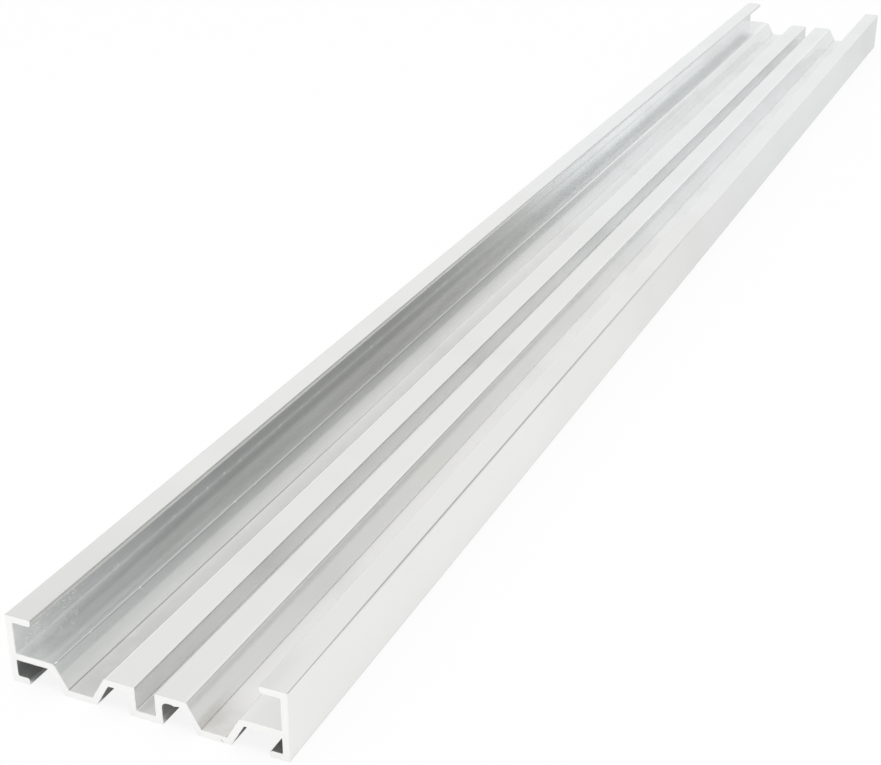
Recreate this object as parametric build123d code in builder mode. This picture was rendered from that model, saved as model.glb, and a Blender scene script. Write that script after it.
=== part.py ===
"""Aluminium extrusion profile: a shallow tray with lipped side walls and a folded base.

The section is the same along the whole length and the same on both sides of its middle.
From the middle outwards it runs: centre groove, rib, trough, shelf, side wall.
The side wall carries an inward lip at the top and an inward foot at the bottom.
The groove, the troughs and the feet all stand on one level, and the ribs and shelves share another.
Millimetres. X is across the section, Y along the stock, Z up, with the origin under its middle.
"""

from build123d import *
from math import radians, tan
import os

# Overall size
width = 100.0
height = 25.0
length = 930.0

# Thickness of the metal
side_wall = 2.5
lip_thickness = 2.5
foot_thickness = 2.5
base_wall = 2.5

# Side channels: how far the lip and the foot stand in from the side wall
lip_reach = 7.0
foot_reach = 4.3

# Folded base
deck_height = 11.0
trough_spacing = 48.0
trough_floor_width = 8.8
flank_angle = 60.0
groove_width = 7.0

# Corner radii
edge_radius = 0.5
root_radius = 0.4
tip_radius = 0.9
base_radius = 0.9
fold_radius = 0.8
rib_radius = 1.0
rib_root_radius = 2.0
groove_root_radius = 0.6

# Levels of the section
deck_underside = deck_height - base_wall
lip_underside = height - lip_thickness

# Distances from the middle of the section
outside = width / 2
wall_face = outside - side_wall
lip_tip = wall_face - lip_reach
foot_tip = wall_face - foot_reach
groove_face = groove_width / 2
groove_back = groove_face + base_wall
trough_centre = trough_spacing / 2
trough_inner = trough_centre - trough_floor_width / 2
trough_outer = trough_centre + trough_floor_width / 2

# A flank's run from the deck to the trough floor, and how far a fold's two corners stand apart
flank_run = deck_underside / tan(radians(flank_angle))
fold_shift = base_wall * tan(radians(flank_angle) / 2)
rib_edge = trough_inner - flank_run
shelf_edge = trough_outer + flank_run

# One half of the section: the underside from the middle out, up the side wall, and back over the top
underside = [
    ((groove_back, 0), edge_radius),
    ((groove_back, deck_underside), rib_root_radius),
    ((rib_edge - fold_shift, deck_underside), root_radius),
    ((trough_inner - fold_shift, 0), fold_radius),
    ((trough_outer + fold_shift, 0), fold_radius),
    ((shelf_edge + fold_shift, deck_underside), root_radius),
    ((wall_face, deck_underside), root_radius),
]
side = [
    ((wall_face, foot_thickness), root_radius),
    ((foot_tip, foot_thickness), tip_radius),
    ((foot_tip, 0), edge_radius),
    ((outside, 0), base_radius),
    ((outside, height), edge_radius),
    ((lip_tip, height), edge_radius),
    ((lip_tip, lip_underside), tip_radius),
    ((wall_face, lip_underside), root_radius),
]
top = [
    ((wall_face, deck_height), root_radius),
    ((shelf_edge, deck_height), edge_radius),
    ((trough_outer, base_wall), root_radius),
    ((trough_inner, base_wall), root_radius),
    ((rib_edge, deck_height), rib_radius),
    ((groove_face, deck_height), edge_radius),
    ((groove_face, base_wall), groove_root_radius),
]
corners = underside + side + top
points = [(0, 0)] + [point for point, radius in corners] + [(0, base_wall)]
radii = [radius for point, radius in corners]

with BuildPart() as extrusion_profile:
    with BuildSketch(Plane.XZ) as section:
        with BuildLine() as outline:
            FilletPolyline(*points, radius=radii)
            mirror(about=Plane.YZ)
        make_face()
    extrude(amount=length / 2, both=True)

extrusion_profile.part.label = "extrusion_profile"
os.makedirs("parts", exist_ok=True)
export_step(extrusion_profile.part, "parts/extrusion_profile.step")
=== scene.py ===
"""Aluminium extrusion profile: a mill-finish skin with sawn ends, on a plain white studio floor."""

from functools import reduce
from math import cos, prod, radians, sin, tan
from typing import NamedTuple

import bmesh
import bpy
from mathutils import Matrix, Vector, noise


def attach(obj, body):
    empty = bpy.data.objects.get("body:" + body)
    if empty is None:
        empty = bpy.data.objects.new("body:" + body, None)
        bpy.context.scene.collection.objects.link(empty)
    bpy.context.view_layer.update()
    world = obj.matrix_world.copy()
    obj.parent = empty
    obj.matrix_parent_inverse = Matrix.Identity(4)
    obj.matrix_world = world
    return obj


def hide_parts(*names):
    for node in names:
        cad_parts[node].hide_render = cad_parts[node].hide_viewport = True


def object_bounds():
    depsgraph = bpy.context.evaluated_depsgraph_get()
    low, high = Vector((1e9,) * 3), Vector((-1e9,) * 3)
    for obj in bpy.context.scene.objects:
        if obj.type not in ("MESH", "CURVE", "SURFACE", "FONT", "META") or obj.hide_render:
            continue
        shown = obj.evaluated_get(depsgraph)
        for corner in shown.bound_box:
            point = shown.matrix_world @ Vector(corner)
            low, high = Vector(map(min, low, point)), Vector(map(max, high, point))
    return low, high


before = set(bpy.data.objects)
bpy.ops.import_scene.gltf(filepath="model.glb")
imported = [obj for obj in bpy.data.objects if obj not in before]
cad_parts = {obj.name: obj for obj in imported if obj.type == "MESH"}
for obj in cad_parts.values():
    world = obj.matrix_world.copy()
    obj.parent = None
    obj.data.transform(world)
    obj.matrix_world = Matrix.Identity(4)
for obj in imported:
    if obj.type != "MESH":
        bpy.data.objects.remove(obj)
cad_low, cad_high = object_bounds()

# The section, in metres, in the frame of the solid
HALF_WIDTH = cad_high.x
HEIGHT = cad_high.z
NEAR_END = cad_low.y
FAR_END = cad_high.y
METAL = 0.0025
LIP_REACH = 0.0070
FOOT_REACH = 0.0043
DECK = 0.0110
TROUGH_CENTRE = 0.0240
TROUGH_FLOOR = 0.0088
GROOVE = 0.0070
FLANK_ANGLE = radians(60)
EDGE_RADIUS = 0.0005
SHELF_ROLL = 0.0030
SHELF_ROLL_ANGLE = radians(7)
SHELF_ROLL_RADIUS = 0.026
ROOT_RADIUS = 0.0004
TIP_RADIUS = 0.0009
BASE_RADIUS = 0.0009
FOLD_RADIUS = 0.0008
RIB_RADIUS = 0.0010
RIB_ROOT_RADIUS = 0.0020
GROOVE_ROOT_RADIUS = 0.0006

# Corners of the right half, used by the mesh and by the finish
DECK_UNDER = DECK - METAL
LIP_UNDER = HEIGHT - METAL
WALL_FACE = HALF_WIDTH - METAL
LIP_TIP = WALL_FACE - LIP_REACH
FOOT_TIP = WALL_FACE - FOOT_REACH
GROOVE_FACE = GROOVE / 2
GROOVE_BACK = GROOVE_FACE + METAL
TROUGH_INNER = TROUGH_CENTRE - TROUGH_FLOOR / 2
TROUGH_OUTER = TROUGH_CENTRE + TROUGH_FLOOR / 2
FLANK_RUN = DECK_UNDER / tan(FLANK_ANGLE)
FOLD_SHIFT = METAL * tan(FLANK_ANGLE / 2)
RIB_EDGE = TROUGH_INNER - FLANK_RUN
SHELF_EDGE = TROUGH_OUTER + FLANK_RUN
SHELF_DROP = SHELF_ROLL * tan(SHELF_ROLL_ANGLE)

# Steps by which the marks of the saw and of the finish are set off from those corners
SHARP = 0.0002
SOFT = 0.0010

# How finely the skin is divided, and the angle from which an edge stays sharp
ARC_STEPS = 6
ACROSS_STEP = 0.0012
ALONG_STEP = 0.030
END_STEPS = (0.00012, 0.0004, 0.0012, 0.004, 0.012)
SHARP_ANGLE = radians(40)

# What the saw left on the ends: a broken edge, a ragged burr, and a few torn teeth (x, z, half width, depth)
EDGE_BREAK = 0.00010
BURR = 0.00022
BURR_PITCH = 900.0
TORN_TEETH = (
    (GROOVE_BACK + 3.8 * SOFT, DECK_UNDER, 0.0005, 0.0003),
    (GROOVE_BACK + 4.8 * SOFT, DECK_UNDER, 0.0007, 0.0005),
    (1.3 * SOFT - TROUGH_INNER, 0.6 * SOFT, 0.0006, 0.0003),
)

# The photograph's camera
IMAGE_WIDTH = 881
CAMERA_AIM = Vector((-0.0050, -0.2315, 0.0110))
CAMERA_AZIMUTH = radians(23.79)
CAMERA_ELEVATION = radians(25.78)
CAMERA_ROLL = radians(0.2)
CAMERA_DISTANCE = 0.6877
FOCAL_PIXELS = 1627.0
SENSOR_WIDTH = 36.0
NEAREST_SEEN = 0.01

WHITE = (1, 1, 1, 1)
BLACK = (0, 0, 0, 1)


class Shade:
    """One socket's value in a shader tree, usable in sums."""

    def __init__(self, tree, socket):
        self.tree = tree
        self.socket = socket

    def maths(self, operation, first, second):
        return self.tree.node("ShaderNodeMath", {"operation": operation}, {0: first, 1: second})

    def __add__(self, other):
        return self.maths("ADD", self, other)

    __radd__ = __add__

    def __sub__(self, other):
        return self.maths("SUBTRACT", self, other)

    def __rsub__(self, other):
        return self.maths("SUBTRACT", other, self)

    def __mul__(self, other):
        return self.maths("MULTIPLY", self, other)

    __rmul__ = __mul__

    def __abs__(self):
        return self.maths("ABSOLUTE", self, 0.0)

    def also(self, output):
        """Another output of the same node."""
        return Shade(self.tree, self.socket.node.outputs[output])

    def larger(self, other):
        return self.maths("MAXIMUM", self, other)

    def past(self, start, end):
        """0 before start, 1 past end, smooth between."""
        return self.tree.node("ShaderNodeMapRange", {"interpolation_type": "SMOOTHSTEP"},
                              {"Value": self, "From Min": start, "From Max": end})

    def short_of(self, start, end):
        """1 before start, 0 past end, smooth between."""
        return 1.0 - self.past(start, end)


class ShaderTree:
    """The nodes of one material, or of the world."""

    def __init__(self, owner):
        owner.use_nodes = True
        self.nodes = owner.node_tree.nodes
        self.links = owner.node_tree.links
        self.nodes.clear()

    def node(self, kind, settings, sockets, output=0):
        made = self.nodes.new(kind)
        for name, value in settings.items():
            setattr(made, name, value)
        for name, value in sockets.items():
            if isinstance(value, Shade):
                self.links.new(value.socket, made.inputs[name])
            else:
                made.inputs[name].default_value = value
        return Shade(self, made.outputs[output]) if made.outputs else None

    def split(self, vector):
        x = self.node("ShaderNodeSeparateXYZ", {}, {"Vector": vector})
        return x, x.also("Y"), x.also("Z")

    def join(self, x, y, z):
        return self.node("ShaderNodeCombineXYZ", {}, {"X": x, "Y": y, "Z": z})

    def stretched(self, vector, x, y, z):
        return self.node("ShaderNodeVectorMath", {"operation": "MULTIPLY"}, {0: vector, 1: (x, y, z)})

    def cloud(self, vector, scale, detail):
        return self.node("ShaderNodeTexNoise", {}, {"Vector": vector, "Scale": scale, "Detail": detail})

    def distance(self, vector, place):
        return self.node("ShaderNodeVectorMath", {"operation": "DISTANCE"}, {0: vector, 1: place}, "Value")

    def blend(self, share, first, second):
        return self.node("ShaderNodeMix", {"data_type": "RGBA"}, {0: share, 6: first, 7: second}, 2)


def largest(shades):
    """The largest of several values."""
    return reduce(Shade.larger, shades)


def half_section():
    """The corners of the right half, from the middle of the underside round to the groove floor."""
    return [
        (GROOVE_BACK, 0, EDGE_RADIUS),
        (GROOVE_BACK, DECK_UNDER, RIB_ROOT_RADIUS),
        (RIB_EDGE - FOLD_SHIFT, DECK_UNDER, ROOT_RADIUS),
        (TROUGH_INNER - FOLD_SHIFT, 0, FOLD_RADIUS),
        (TROUGH_OUTER + FOLD_SHIFT, 0, FOLD_RADIUS),
        (SHELF_EDGE + FOLD_SHIFT, DECK_UNDER, ROOT_RADIUS),
        (WALL_FACE, DECK_UNDER, ROOT_RADIUS),
        (WALL_FACE, METAL, ROOT_RADIUS),
        (FOOT_TIP, METAL, TIP_RADIUS),
        (FOOT_TIP, 0, EDGE_RADIUS),
        (HALF_WIDTH, 0, BASE_RADIUS),
        (HALF_WIDTH, HEIGHT, EDGE_RADIUS),
        (LIP_TIP, HEIGHT, EDGE_RADIUS),
        (LIP_TIP, LIP_UNDER, TIP_RADIUS),
        (WALL_FACE, LIP_UNDER, ROOT_RADIUS),
        (WALL_FACE, DECK, ROOT_RADIUS),
        (SHELF_EDGE + SHELF_ROLL, DECK, SHELF_ROLL_RADIUS),
        (SHELF_EDGE - SHELF_DROP / tan(FLANK_ANGLE), DECK - SHELF_DROP, EDGE_RADIUS),
        (TROUGH_OUTER, METAL, ROOT_RADIUS),
        (TROUGH_INNER, METAL, ROOT_RADIUS),
        (RIB_EDGE, DECK, RIB_RADIUS),
        (GROOVE_FACE, DECK, EDGE_RADIUS),
        (GROOVE_FACE, METAL, GROOVE_ROOT_RADIUS),
    ]


def rounded(before, corner, after, radius):
    """The arc that rounds one corner, as points."""
    into = (before - corner).normalized()
    out = (after - corner).normalized()
    half = into.angle(out) / 2
    centre = corner + (into + out).normalized() * (radius / sin(half))
    start = corner + into * (radius / tan(half)) - centre
    end = corner + out * (radius / tan(half)) - centre
    turn = start.angle_signed(end)
    return [centre + Matrix.Rotation(-turn * k / ARC_STEPS, 2) @ start for k in range(ARC_STEPS + 1)]


def flat_points(start, end):
    """The points between two ends of a flat."""
    steps = max(1, round((end - start).length / ACROSS_STEP))
    return [start.lerp(end, k / steps) for k in range(1, steps)]


def section_loop():
    """The whole section as one closed loop of points, evenly divided along its flats."""
    right = half_section()
    corners = right + [(-x, z, radius) for x, z, radius in reversed(right)]
    places = [Vector((x, z)) for x, z, radius in corners]
    loop = []
    for i, (x, z, radius) in enumerate(corners):
        arc = rounded(places[i - 1], places[i], places[(i + 1) % len(places)], radius)
        if loop:
            loop += flat_points(loop[-1], arc[0])
        loop += arc
    return loop + flat_points(loop[-1], loop[0])


def outward(loop):
    """The outward direction at each point of the loop."""
    found = []
    for i in range(len(loop)):
        along = (loop[(i + 1) % len(loop)] - loop[i - 1]).normalized()
        found.append(Vector((along.y, -along.x)))
    return found


def stations():
    """Places along the stock: close together at the sawn ends, then even."""
    near = [NEAR_END] + [NEAR_END + step for step in END_STEPS]
    far = [FAR_END - step for step in reversed(END_STEPS)] + [FAR_END]
    steps = round((far[0] - near[-1]) / ALONG_STEP)
    middle = [near[-1] + (far[0] - near[-1]) * k / steps for k in range(1, steps)]
    return near + middle + far


def sawn_offset(point, y):
    """How far the sawn edge stands out of the section: mostly broken back, with a ragged burr in places."""
    rough = noise.noise(Vector((point.x, y, point.y)) * BURR_PITCH)
    offset = max(0.0, rough) * BURR - EDGE_BREAK
    if y == NEAR_END:
        for x, z, half, depth in TORN_TEETH:
            offset += depth * max(0.0, 1 - (point - Vector((x, z))).length / half)
    return offset


def profile_mesh():
    """The skin as one closed mesh: rings of quads along the stock, and a sawn face on each end."""
    loop = section_loop()
    away = outward(loop)
    count = len(loop)
    mesh = bmesh.new()
    rings = []
    for y in stations():
        ring = []
        for point, direction in zip(loop, away):
            offset = sawn_offset(point, y) if y in (NEAR_END, FAR_END) else 0.0
            x, z = point + direction * offset
            ring.append(mesh.verts.new((x, y, max(0.0, z))))
        rings.append(ring)
    for ring, following in zip(rings, rings[1:]):
        for i in range(count):
            j = (i + 1) % count
            mesh.faces.new((ring[j], ring[i], following[i], following[j]))
    ends = [mesh.faces.new(rings[0]), mesh.faces.new(reversed(rings[-1]))]
    for face in ends:
        face.material_index = 1
    mesh.normal_update()
    bmesh.ops.triangulate(mesh, faces=ends)
    bmesh.ops.recalc_face_normals(mesh, faces=mesh.faces)
    made = bpy.data.meshes.new("profile")
    mesh.to_mesh(made)
    mesh.free()
    return made


def add_profile():
    """The visible profile, standing for the solid."""
    mesh = profile_mesh()
    mesh.materials.append(mill_finish())
    mesh.materials.append(sawn_finish())
    mesh.shade_smooth()
    mesh.set_sharp_from_angle(angle=SHARP_ANGLE)
    profile = bpy.data.objects.new("profile", mesh)
    bpy.context.scene.collection.objects.link(profile)
    even = profile.modifiers.new("even_normals", "WEIGHTED_NORMAL")
    even.keep_sharp = True
    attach(profile, "root")
    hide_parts("extrusion_profile")


class Line(NamedTuple):
    """A line along one corner of the section: its strength on each side, and where it starts and fades."""

    x: float
    z: float
    width: float
    on_left: float
    on_right: float
    starts: tuple = None
    fades: tuple = None


# Soft edges that marks fade over, as where each starts and ends: along the stock, from the near end
TROUGH_LINES_FADE = (0.12, 0.32)
EDGE_LINES_FADE = (0.30, 0.50)
TOP_LINE_STARTS = (0.0, 0.08)
FOOT_HIGHLIGHT_FADES = (0.28, 0.40)
FOOT_FLECKS_FADE = (0.30, 0.55)
EDGE_FLECKS_FADE = (0.06, 0.25)
SAWN_FLECKS_START = (0.004, 0.009)
SAWN_FLECKS_FADE = (0.024, 0.045)
BLOOM_FADES = (0.002, 0.030)
WALL_SHADE_FADES = (0.35, 0.50)
FLANK_SHADE_FADES = (0.32, 0.44)
LEFT_LIP_DARK_FADES = (0.03, 0.09)
RIGHT_LIP_DARK_FADES = (0.008, 0.030)
GROOVE_SHADE_FADES = (0.02, 0.18)
DUST_FADES = (0.02, 0.10)
FACING_FILM_STARTS = (0.03, 0.08)
FACING_FILM_FADES = (0.18, 0.26)
CHANNEL_WARMS = (0.06, 0.25)
GROOVE_TOP_LIGHT_FADES = (0.05, 0.16)
FAR_SHEEN_STARTS = (0.36, 0.60)
FAR_FLOOR_STARTS = (0.30, 0.60)
PALE_CHANNEL_STARTS = (0.42, 0.56)
PALE_GROOVE_STARTS = (0.28, 0.45)
PALE_FACING_STARTS = (0.33, 0.45)
PALE_FADES = (0.60, 0.85)

# Soft edges across and up the section
LEFT_CHANNEL = (-TROUGH_OUTER, SHARP - TROUGH_OUTER)
IN_GROOVE = (GROOVE_FACE + SHARP / 2, GROOVE_FACE + 1.5 * SHARP)
IN_TROUGHS = (TROUGH_OUTER + 3 * SHARP, TROUGH_OUTER + 8 * SHARP)
ON_SHELF = (-SHELF_EDGE - 1.7 * SOFT, -SHELF_EDGE - SHARP)
OFF_SHELF = (-SHELF_EDGE - 2 * SHARP, SHARP / 2 - SHELF_EDGE)
FACING_TOP = (RIB_EDGE - 2 * SHARP, RIB_EDGE + SHARP / 2)
FACING_FOOT = (TROUGH_INNER - SHARP, TROUGH_INNER + SHARP)
# where the lip tops are darker near the sawn end
LEFT_LIP_DARK = (1.5 * SOFT - LIP_TIP, 2.5 * SOFT - LIP_TIP)
RIGHT_LIP_DARK = (LIP_TIP, LIP_TIP + SOFT / 2)
RIGHT_LIP_DARK_ENDS = (LIP_TIP + 1.5 * SOFT, HALF_WIDTH - 1.5 * SOFT)
LIP_TOP = (HEIGHT - SOFT, HEIGHT - SOFT / 2)
TROUGH_TOP = (METAL + SHARP, METAL + 4 * SHARP)
NEAR_LIP = (LIP_UNDER - SOFT, LIP_UNDER - 0.3 * SOFT)

# Lines along the corners
HAIRLINE = 0.00025
LINE_CORE = 0.4
# painted shade: dark lines in the troughs' corners, along the shelf, groove, lip and base edges, and under
# the lip tips
SHADE_LINES = (
    Line(TROUGH_OUTER, METAL, HAIRLINE, 1.0, 1.0, fades=TROUGH_LINES_FADE),
    Line(TROUGH_INNER, METAL, HAIRLINE, 0.6, 0.6, fades=TROUGH_LINES_FADE),
    Line(SHELF_EDGE - SHARP, DECK - 2 * SHARP, 1.4 * SHARP, 0.7, 0.0, fades=EDGE_LINES_FADE),
    Line(GROOVE_FACE, DECK, 0.5 * SOFT, 0.0, 0.4, fades=EDGE_LINES_FADE),
    Line(HALF_WIDTH, HEIGHT - 2 * SHARP, 0.9 * SOFT, 0.28, 0.28, TOP_LINE_STARTS, EDGE_LINES_FADE),
    Line(LIP_TIP, LIP_UNDER, 1.6 * SOFT, 0.35, 0.35, fades=EDGE_LINES_FADE),
    Line(LIP_TIP, HEIGHT - SOFT, 1.1 * SOFT, 0.12, 0.12, fades=EDGE_LINES_FADE),
    Line(HALF_WIDTH, 0.0, 1.3 * SOFT, 0.24, 0.24),
)
# painted highlights: bright lines along the rib tops, the groove's top edge, just inside the left shelf's
# edge, and in the corner at the foot of the left wall
HIGHLIGHT_LINES = (
    Line(RIB_EDGE, DECK, 1.2 * SOFT, 1.0, 0.5),
    Line(GROOVE_FACE, DECK, SOFT, 0.4, 0.0),
    Line(SHELF_EDGE + 1.4 * SOFT, DECK, 2 * SOFT, 0.7, 0.0),
    Line(WALL_FACE, DECK, 1.8 * SOFT, 0.3, 0.0, fades=FOOT_HIGHLIGHT_FADES),
)
FLECK_LINES = (
    Line(WALL_FACE, DECK, SOFT, 0.30, 0.0, fades=FOOT_FLECKS_FADE),
    Line(SHELF_EDGE, DECK, SOFT, 0.20, 0.0, fades=EDGE_FLECKS_FADE),
)

# How strong the marks are: the grey of dust and painted shade by place, and the other marks as shares of
# their colours
WALL_SHADE = 0.10
FLANK_SHADE = 0.16
LIP_DARKENING = 0.10
GROOVE_SHADE = 0.09
DUST_FILM = 0.16
FACING_FILM = 0.05
GROOVE_TOP_LIGHT_SHARE = 0.8
WIPED_SHARE = 0.4
STAIN_SHARE = 0.4
SHADE_LINE_SHARE = 0.7
SAWN_FLECKS_SHARE = 0.45

# Grain of the mill finish: noise scales per metre, how far the die drew it out, and the depth of its lines
FINE_GRAIN = 2600.0
BROAD_GRAIN = 500.0
CLOUD_GRAIN = 14.0
WIPE_GRAIN = 18.0
PATCH_GRAIN = 100.0
FLECK_GRAIN = 900.0
DRAWN_OUT = 0.004
GRAIN_DEPTH = 0.0000045

# Roughness and metal of the mill finish, and what its places and marks add to them
SATIN = 0.155
TROUGH_DULLNESS = 0.24
FLECK_DULLNESS = 0.3
CLOUD_DULLNESS = 0.05
GRAIN_DULLNESS = 0.03
BARE_METAL = 0.90
BLOOM_CHALK = 0.12
FLECK_CHALK = 0.7
FLECK_RELIEF = 4.0
SHADE_LINE_RELIEF = 2.0
CHANNEL_SMOOTHING = 0.5

# Colours of the mill finish
PLAIN_METAL = (0.875, 0.880, 0.870, 1)
WARM_METAL = (0.885, 0.880, 0.864, 1)
COOL_CHANNEL = (0.886, 0.898, 0.894, 1)
WARM_CHANNEL = (0.893, 0.895, 0.884, 1)
GROOVE_METAL = (0.897, 0.898, 0.889, 1)
# painted highlight: the top of the groove's walls lighter near the sawn end
GROOVE_TOP_LIGHT = (0.985, 0.985, 0.975, 1)
# painted sheen: the far half paler and cooler, and the hollows paler beyond the middle
FAR_SHEEN_METAL = (0.890, 0.901, 0.904, 1)
PALE_SHEEN_METAL = (0.928, 0.939, 0.942, 1)
# painted light: the trough floors lighter, warm near the sawn end and cool further on
NEAR_FLOOR_LIGHT = (0.954, 0.950, 0.938, 1)
FAR_FLOOR_LIGHT = (0.944, 0.953, 0.955, 1)
WIPED_METAL = (0.82, 0.82, 0.812, 1)
# grey for dust, and for painted shade in the left channel, on the left flank and low in the groove
DUST_AND_SHADE_GREY = (0.30, 0.31, 0.31, 1)
BLOOM = (0.97, 0.98, 0.975, 1)
# painted highlight along edges and corners
HIGHLIGHT_METAL = (0.98, 0.98, 0.975, 1)
STAIN = (0.52, 0.49, 0.44, 1)
# painted shade along the corners and edges
SHADE_LINE_BLACK = (0.12, 0.12, 0.12, 1)
FLECK = (0.97, 0.97, 0.96, 1)

# The brown stain in the right trough, by the sawn end
STAIN_PLACE = (TROUGH_CENTRE - 1.5 * SOFT, NEAR_END + 4 * SOFT, METAL)
STAIN_REACH = (2 * SOFT, 20 * SOFT)
STAIN_TOP = (METAL + 1.5 * SOFT, METAL + 3.5 * SOFT)


class MillSurface:
    """A point of the mill finish: where it lies, and the grains and places that its marks share."""

    def __init__(self, tree):
        self.tree = tree
        self.place = tree.node("ShaderNodeTexCoord", {}, {}, "Object")
        self.side, self.along, self.height = tree.split(self.place)
        self.across = abs(self.side)
        self.from_end = self.along - NEAR_END
        self.section = tree.join(self.across, 0.0, self.height)
        self.right = self.side.past(-SOFT, SOFT)
        drawn = tree.stretched(self.place, 1.0, DRAWN_OUT, 1.0)
        slanted = tree.join(0.3 * self.side, self.along + 0.5 * self.height, 0.25 * self.height)
        self.fine = tree.cloud(drawn, FINE_GRAIN, 1.0)
        self.broad = tree.cloud(drawn, BROAD_GRAIN, 2.0)
        self.clouds = tree.cloud(self.place, CLOUD_GRAIN, 3.0)
        self.wiped = tree.cloud(slanted, WIPE_GRAIN, 3.0)
        self.patches = tree.cloud(self.place, PATCH_GRAIN, 3.0)
        self.channel = self.patch(left_of=LEFT_CHANNEL, below=(LIP_UNDER, LIP_UNDER + SOFT))
        self.groove = self.patch(within=IN_GROOVE, below=(DECK - SOFT, DECK - SHARP))
        self.trough = self.patch(within=IN_TROUGHS, below=TROUGH_TOP)
        self.facing = self.patch(right_of=FACING_TOP, left_of=FACING_FOOT,
                                 above=(METAL + 1.5 * SHARP, METAL + 4.5 * SHARP),
                                 below=(DECK - 4 * SHARP, DECK - 1.5 * SHARP))

    def patch(self, within=None, right_of=None, left_of=None, above=None, below=None, beyond=None,
              until=None):
        """1 inside the soft edges that are given, each as where it starts and where it ends."""
        low = ((self.side, right_of), (self.height, above), (self.from_end, beyond))
        high = ((self.across, within), (self.side, left_of), (self.height, below), (self.from_end, until))
        inside = [value.past(*edge) for value, edge in low if edge]
        return prod(inside + [value.short_of(*edge) for value, edge in high if edge])

    def corner_line(self, line):
        """One line along a corner of the section."""
        away = self.tree.distance(self.section, (line.x, 0.0, line.z))
        strength = line.on_left + (line.on_right - line.on_left) * self.right
        run = self.patch(beyond=line.starts, until=line.fades)
        return strength * away.short_of(LINE_CORE * line.width, line.width) * run

    def corner_lines(self, lines):
        """The strongest of several lines along corners."""
        return largest([self.corner_line(line) for line in lines])


def painted_shade_lines(surface):
    """Painted shade: dark lines in the corners, under the lip tips and along the edges, broken here and there
    and lost towards the far end.
    """
    return surface.corner_lines(SHADE_LINES) * (0.6 + 0.4 * surface.broad.past(0.3, 0.55))


def scuffs(surface):
    """Small bright flecks: along the foot of the left wall and the shelf's edge, and about the sawn end."""
    sawn = surface.patch(left_of=LEFT_CHANNEL, above=(DECK + SOFT / 2, DECK + 1.5 * SOFT),
                         below=(DECK + 6.5 * SOFT, DECK + 8 * SOFT),
                         beyond=SAWN_FLECKS_START, until=SAWN_FLECKS_FADE)
    share = surface.corner_lines(FLECK_LINES).larger(SAWN_FLECKS_SHARE * sawn)
    share = share * surface.patches.past(0.35, 0.50)
    spots = {"Vector": surface.place, "Scale": FLECK_GRAIN}
    middle = surface.tree.node("ShaderNodeTexVoronoi", {}, spots, "Distance")
    chance = surface.tree.split(middle.also("Color"))[0]
    return middle.short_of(0.20, 0.36) * (share - chance).past(0.0, 0.02)


def dust_and_painted_shade(surface):
    """Grey darkening: painted shade on the lower left wall, on the left flank and low in the groove by the
    sawn end, dust in the left trough, darker lip tops near the sawn end, and a faint grey band on the right
    rib's flank; thickest on the left flank and in the left trough.
    """
    # painted shade on the lower left wall
    wall = surface.patch(left_of=LEFT_CHANNEL, above=(DECK + SOFT, DECK + 3 * SOFT),
                         below=(DECK + 4.5 * SOFT, DECK + 6 * SOFT), until=WALL_SHADE_FADES)
    # painted shade on the left flank
    flank = surface.patch(left_of=LEFT_CHANNEL, right_of=OFF_SHELF, above=(METAL - SOFT, DECK - 4 * SOFT),
                          until=FLANK_SHADE_FADES)
    # the lip tops darker near the sawn end
    left_lip = surface.patch(left_of=LEFT_LIP_DARK, above=LIP_TOP, until=LEFT_LIP_DARK_FADES)
    right_lip = surface.patch(right_of=RIGHT_LIP_DARK, left_of=RIGHT_LIP_DARK_ENDS, above=LIP_TOP,
                              until=RIGHT_LIP_DARK_FADES)
    # painted shade low in the groove, by the sawn end
    groove = surface.patch(within=IN_GROOVE, below=(METAL - SOFT / 2, DECK - 1.5 * SOFT),
                           until=GROOVE_SHADE_FADES)
    dust = (1.0 - surface.right) * surface.trough * surface.patches.past(0.15, 0.6)
    dust = dust * surface.patch(until=DUST_FADES)
    facing = surface.facing * surface.patch(beyond=FACING_FILM_STARTS, until=FACING_FILM_FADES)
    return largest([WALL_SHADE * wall, FLANK_SHADE * flank, LIP_DARKENING * left_lip, LIP_DARKENING * right_lip,
                    GROOVE_SHADE * groove, DUST_FILM * dust, FACING_FILM * facing])


def pale_bloom(surface):
    """The pale bloom inside the left channel, at its sawn end."""
    inside = surface.patch(left_of=ON_SHELF, above=(DECK - SOFT, DECK - SOFT / 2), below=NEAR_LIP,
                           until=BLOOM_FADES)
    return inside * (0.4 + 0.6 * surface.patches.past(0.35, 0.60))


def brown_stain(surface):
    """The brown stain in the right trough, at its sawn end."""
    spread = surface.tree.distance(surface.place, STAIN_PLACE).short_of(*STAIN_REACH)
    return spread * surface.height.short_of(*STAIN_TOP) * (0.4 + 0.6 * surface.patches.past(0.25, 0.6))


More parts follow.
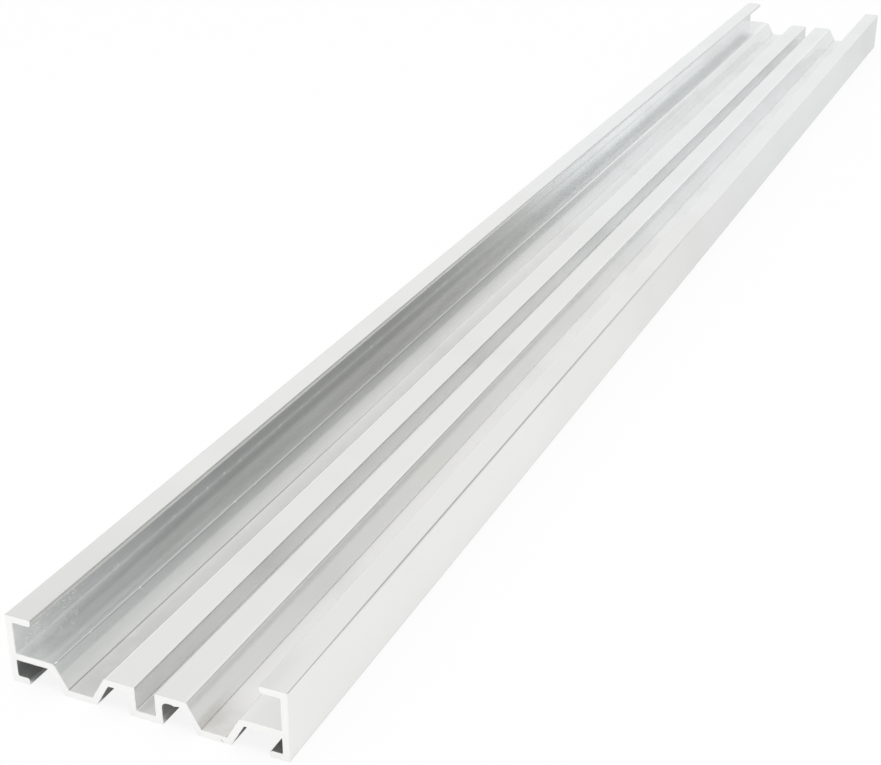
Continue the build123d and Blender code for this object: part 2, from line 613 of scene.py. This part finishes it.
def mill_colour(surface, bloom, lines, flecks):
    """The metal's colour: a little different in each hollow and along the stock, with its marks on top;
    painted light in it makes the far half paler and cooler, the hollows paler beyond the middle, the trough
    floors lighter, the groove's top lighter by the sawn end, and puts bright and dark lines along the edges.
    """
    tree = surface.tree
    from_end = surface.from_end
    channel = tree.blend(from_end.past(*CHANNEL_WARMS), COOL_CHANNEL, WARM_CHANNEL)
    # painted highlight on the top of the groove's walls, by the sawn end
    lit_groove_top = surface.groove * surface.patch(above=(DECK / 2, DECK - 1.5 * SOFT), until=GROOVE_TOP_LIGHT_FADES)
    # painted sheen: the hollows paler beyond the middle
    pale = largest([surface.channel * from_end.past(*PALE_CHANNEL_STARTS),
                    surface.groove * from_end.past(*PALE_GROOVE_STARTS),
                    surface.facing * from_end.past(*PALE_FACING_STARTS)])
    # painted light on the trough floors
    lit_floors = tree.blend(from_end.past(*FAR_FLOOR_STARTS), NEAR_FLOOR_LIGHT, FAR_FLOOR_LIGHT)
    layers = (
        (surface.channel, channel),
        (surface.groove, GROOVE_METAL),
        (GROOVE_TOP_LIGHT_SHARE * lit_groove_top, GROOVE_TOP_LIGHT),
        # painted sheen on the far half
        (from_end.past(*FAR_SHEEN_STARTS), FAR_SHEEN_METAL),
        (pale * from_end.short_of(*PALE_FADES), PALE_SHEEN_METAL),
        (surface.trough, lit_floors),
        (WIPED_SHARE * surface.wiped.past(0.45, 0.70), WIPED_METAL),
        (dust_and_painted_shade(surface), DUST_AND_SHADE_GREY),
        (bloom, BLOOM),
        (surface.corner_lines(HIGHLIGHT_LINES), HIGHLIGHT_METAL),
        (STAIN_SHARE * brown_stain(surface), STAIN),
        (SHADE_LINE_SHARE * lines, SHADE_LINE_BLACK),
        (flecks, FLECK),
    )
    metal = tree.blend(surface.clouds, PLAIN_METAL, WARM_METAL)
    for share, colour in layers:
        metal = tree.blend(share, metal, colour)
    return metal


def mill_finish():
    """Satin mill-finish aluminium with fine lengthwise die lines, dull where the saw and hands have been; its
    colour carries painted light and shade.
    """
    material = bpy.data.materials.new("mill_finish")
    tree = ShaderTree(material)
    surface = MillSurface(tree)
    bloom = pale_bloom(surface)
    lines = painted_shade_lines(surface)
    flecks = scuffs(surface)
    roughness = SATIN + TROUGH_DULLNESS * surface.trough + FLECK_DULLNESS * flecks
    roughness = roughness + CLOUD_DULLNESS * (surface.clouds - 0.5) + GRAIN_DULLNESS * (surface.fine - 0.5)
    shine = BARE_METAL - BLOOM_CHALK * bloom - FLECK_CHALK * flecks
    grain = 0.5 * (surface.fine - 0.5) + (surface.broad - 0.5)
    relief = grain * (1.0 - CHANNEL_SMOOTHING * surface.channel) + FLECK_RELIEF * flecks - SHADE_LINE_RELIEF * lines
    bump = tree.node("ShaderNodeBump", {}, {"Strength": 1.0, "Distance": GRAIN_DEPTH, "Height": relief})
    shader = tree.node("ShaderNodeBsdfPrincipled", {},
                       {"Base Color": mill_colour(surface, bloom, lines, flecks), "Metallic": shine,
                        "Roughness": roughness, "Normal": bump, "Specular IOR Level": 0.0})
    tree.node("ShaderNodeOutputMaterial", {}, {"Surface": shader})
    return material


# The sawn ends: the blade's middle, the noise scales per metre, the depth of its marks, and the colours
BLADE_MIDDLE = (0.03, 0.0, 0.20)
SAW_GRAIN = 2200.0
MOTTLE_GRAIN = 260.0
SAW_DEPTH = 0.00003
SAWN_GREY = (0.945, 0.945, 0.930, 1)
SAWN_BRIGHT = (0.975, 0.975, 0.960, 1)
SAWN_MOTTLE = (0.92, 0.92, 0.90, 1)
SAWN_METAL = 0.8
SAWN_ROUGHNESS = 0.38
MOTTLE_SHARE = 0.35

# The nick on the near end, under the right trough: its middle, and soft edges of its slanted length and width
NICK_SIDE = TROUGH_OUTER - 1.7 * SOFT
NICK_HEIGHT = 0.7 * SOFT
NICK_LENGTH = (0.7 * SOFT, 1.1 * SOFT)
NICK_WIDTH = (0.6 * SHARP, 1.4 * SHARP)
NICKED_HALF = (0.0, 0.1)
# painted shade inside the nick
NICK_SHADE = (0.35, 0.34, 0.32, 1)
NICK_SHARE = 0.7
NICK_RELIEF = 3.0


def sawn_finish():
    """The bright sawn metal of the ends, with the saw's curved marks and one nick, darkened with painted
    shade.
    """
    material = bpy.data.materials.new("sawn_finish")
    tree = ShaderTree(material)
    place = tree.node("ShaderNodeTexCoord", {}, {}, "Object")
    side, along, height = tree.split(place)
    sweep = tree.distance(tree.join(side, 0.0, height), BLADE_MIDDLE)
    marks = tree.cloud(tree.join(sweep, 0.0, along), SAW_GRAIN, 2.0)
    mottle = tree.cloud(place, MOTTLE_GRAIN, 3.0)
    from_side = side - NICK_SIDE
    from_height = height - NICK_HEIGHT
    lengthwise = abs(from_side - from_height).short_of(*NICK_LENGTH)
    crosswise = abs(from_side + from_height).short_of(*NICK_WIDTH)
    nick = lengthwise * crosswise * along.short_of(*NICKED_HALF)
    metal = tree.blend(marks.past(0.3, 0.7), SAWN_GREY, SAWN_BRIGHT)
    metal = tree.blend(MOTTLE_SHARE * mottle.past(0.5, 0.75), metal, SAWN_MOTTLE)
    metal = tree.blend(NICK_SHARE * nick, metal, NICK_SHADE)
    relief = marks - NICK_RELIEF * nick
    bump = tree.node("ShaderNodeBump", {}, {"Strength": 0.3, "Distance": SAW_DEPTH, "Height": relief})
    shader = tree.node("ShaderNodeBsdfPrincipled", {},
                       {"Base Color": metal, "Metallic": SAWN_METAL, "Roughness": SAWN_ROUGHNESS,
                        "Normal": bump})
    tree.node("ShaderNodeOutputMaterial", {}, {"Surface": shader})
    return material


# The floor: its size and paint, and soft edges of the shade painted under the profile, measured out from its
# outline
FLOOR_HALF = 12.0
PAINT = (0.96, 0.96, 0.96, 1)
# painted shadow: darker paint under the profile
PAINTED_SHADOW_GREY = (0.38, 0.38, 0.38, 1)
UNDERNEATH = (-4 * SOFT, 0.0)
CONTACT = (-3 * SOFT, 2 * SOFT)
SEEN_WHITE = 0.89
MIRRORED_WHITE = 0.82
CONTACT_SHADE = 0.95

# How much dimmer the metal sees the floor along the profile and to its left, and the soft edges of that
END_DIMNESS = 0.06
MIDDLE_DIMNESS = 0.14
FAR_DIMNESS = 0.07
LEFT_DIMNESS = 0.24
DIM_AT_END = (NEAR_END - 0.02, NEAR_END + 0.04)
DIM_AT_MIDDLE = (-0.25, 0.05)
DIM_AT_FAR_END = (0.40, 0.50)
DIM_LEFT = (-1.2 * HALF_WIDTH, -HALF_WIDTH)
DIM_LEFT_STARTS = (NEAR_END, NEAR_END + 0.05)


def white_floor():
    """White paint that keeps the profile's cast shadow, with a painted shadow underneath it, and shows white
    in the metal except for a painted contact shadow round and under the profile.
    """
    material = bpy.data.materials.new("white_floor")
    tree = ShaderTree(material)
    side, along, height = tree.split(tree.node("ShaderNodeTexCoord", {}, {}, "Object"))
    clear = (abs(side) - HALF_WIDTH).larger(abs(along) - FAR_END)
    dimmer = END_DIMNESS * along.past(*DIM_AT_END) + MIDDLE_DIMNESS * along.past(*DIM_AT_MIDDLE)
    dimmer = dimmer + FAR_DIMNESS * along.past(*DIM_AT_FAR_END)
    dimmer = dimmer.larger(LEFT_DIMNESS * side.short_of(*DIM_LEFT) * along.past(*DIM_LEFT_STARTS))
    seen = tree.node("ShaderNodeLightPath", {}, {}, "Is Camera Ray")
    mirrored = seen.also("Is Glossy Ray").larger(seen.also("Is Transmission Ray"))
    # painted contact shadow: the glow the metal sees is cut under and round the profile
    contact = CONTACT_SHADE * clear.short_of(*CONTACT)
    share = SEEN_WHITE * seen + MIRRORED_WHITE * mirrored * (1.0 - contact)
    paint = tree.node("ShaderNodeBsdfDiffuse", {}, {"Color": PAINT})
    # painted shadow under the profile's footprint
    painted_shadow = tree.node("ShaderNodeBsdfDiffuse", {}, {"Color": PAINTED_SHADOW_GREY})
    paint = tree.node("ShaderNodeMixShader", {}, {0: clear.short_of(*UNDERNEATH), 1: paint, 2: painted_shadow})
    tone = tree.blend(mirrored * dimmer, WHITE, BLACK)
    white = tree.node("ShaderNodeEmission", {}, {"Color": tone, "Strength": 1.0})
    both = tree.node("ShaderNodeMixShader", {}, {0: share, 1: paint, 2: white})
    tree.node("ShaderNodeOutputMaterial", {}, {"Surface": both})
    return material


def add_floor():
    """The studio floor."""
    corners = [(-FLOOR_HALF, -FLOOR_HALF, 0), (FLOOR_HALF, -FLOOR_HALF, 0),
               (FLOOR_HALF, FLOOR_HALF, 0), (-FLOOR_HALF, FLOOR_HALF, 0)]
    mesh = bpy.data.meshes.new("floor")
    mesh.from_pydata(corners, [], [(0, 1, 2, 3)])
    mesh.materials.append(white_floor())
    floor = bpy.data.objects.new("floor", mesh)
    bpy.context.scene.collection.objects.link(floor)


def span(start, end):
    """The two ends of a soft edge, from degrees."""
    return radians(start), radians(end)


# The studio: levels of light, and soft edges by azimuth, from straight behind towards the right, and by
# elevation; the front's own edge is by how far a direction points ahead
SKY = 0.91
SKY_DROP = 0.07
GLOW = 0.24
FRONT_GLOW = 0.10
PANEL_DEPTH = 0.58
PANEL_DEEPENING = 0.11
SKY_DROPS = span(24, 47)
GLOW_STARTS = span(3, 12)
GLOW_ENDS = span(22, 28)
GLOW_FOOT = span(11, 16)
GLOW_TOP = span(20, 27)
FRONT = (-0.5, 0.0)
FRONT_TOP = span(6, 14)
PANEL_EDGE = span(18.3, 22.0)
PANEL_LEAN = 0.33
PANEL_LEANS_FROM = radians(20)
PANEL_ENDS = span(44, 56)
PANEL_TOP = span(31.2, 35.2)
PANEL_DEEPENS = span(10, 22)
TINT_FADES = span(15, 30)
SKY_TINT = (0.990, 1.0, 0.996, 1)
PANEL_TINT = (0.975, 1.0, 0.993, 1)
LAMP_PLACE = (0.2, -0.6, 2.0)
LAMP_SIZE = 2.0
LAMP_WATTS = 10.0


def studio_sky():
    """Soft white light from all round, with a glow behind and one dim panel to the right of it."""
    world = bpy.data.worlds.new("studio")
    tree = ShaderTree(world)
    across, ahead, rise = tree.split(tree.node("ShaderNodeTexCoord", {}, {}, "Generated"))
    azimuth = across.maths("ARCTAN2", across, ahead)
    elevation = rise.maths("ARCSINE", rise, 0.0)
    glow = azimuth.past(*GLOW_STARTS) * azimuth.short_of(*GLOW_ENDS)
    glow = glow * elevation.past(*GLOW_FOOT) * elevation.short_of(*GLOW_TOP)
    front = ahead.short_of(*FRONT) * elevation.short_of(*FRONT_TOP)
    sky = SKY - SKY_DROP * elevation.past(*SKY_DROPS) + GLOW * glow + FRONT_GLOW * front
    panel = (azimuth + PANEL_LEAN * (elevation - PANEL_LEANS_FROM)).past(*PANEL_EDGE)
    panel = panel * azimuth.short_of(*PANEL_ENDS) * elevation.short_of(*PANEL_TOP)
    depth = PANEL_DEPTH + PANEL_DEEPENING * elevation.past(*PANEL_DEEPENS)
    tint = tree.blend(elevation.past(*TINT_FADES), SKY_TINT, WHITE)
    tint = tree.blend(panel, tint, PANEL_TINT)
    level = sky * (1.0 - panel * depth)
    light = tree.node("ShaderNodeVectorMath", {"operation": "SCALE"}, {0: tint, "Scale": level})
    seen = tree.node("ShaderNodeLightPath", {}, {}, "Is Camera Ray")
    light = tree.blend(seen, light, WHITE)
    shine = tree.node("ShaderNodeBackground", {}, {"Color": light, "Strength": 1.0})
    tree.node("ShaderNodeOutputWorld", {}, {"Surface": shine})
    return world


def light_studio():
    """The studio's sky, and a wide soft lamp overhead for the shadow on the floor."""
    bpy.context.scene.world = studio_sky()
    lamp = bpy.data.objects.new("overhead", bpy.data.lights.new("overhead", "AREA"))
    lamp.data.energy = LAMP_WATTS
    lamp.data.size = LAMP_SIZE
    lamp.location = LAMP_PLACE
    lamp.visible_glossy = False
    bpy.context.scene.collection.objects.link(lamp)


def add_camera():
    """The camera that took the photograph."""
    camera = bpy.data.objects.new("camera", bpy.data.cameras.new("camera"))
    bpy.context.scene.collection.objects.link(camera)
    flat = cos(CAMERA_ELEVATION)
    back = Vector((sin(CAMERA_AZIMUTH) * flat, -cos(CAMERA_AZIMUTH) * flat, sin(CAMERA_ELEVATION)))
    camera.location = CAMERA_AIM + back * CAMERA_DISTANCE
    level = (-back).to_track_quat("-Z", "Y").to_matrix()
    camera.rotation_euler = (level @ Matrix.Rotation(CAMERA_ROLL, 3, "Z")).to_euler()
    camera.data.sensor_width = SENSOR_WIDTH
    camera.data.lens = FOCAL_PIXELS / IMAGE_WIDTH * SENSOR_WIDTH
    camera.data.clip_start = NEAREST_SEEN
    camera.data.clip_end = 4 * FLOOR_HALF
    bpy.context.scene.camera = camera


add_profile()
add_floor()
light_studio()
add_camera()
bpy.context.scene.view_settings.view_transform = "Standard"
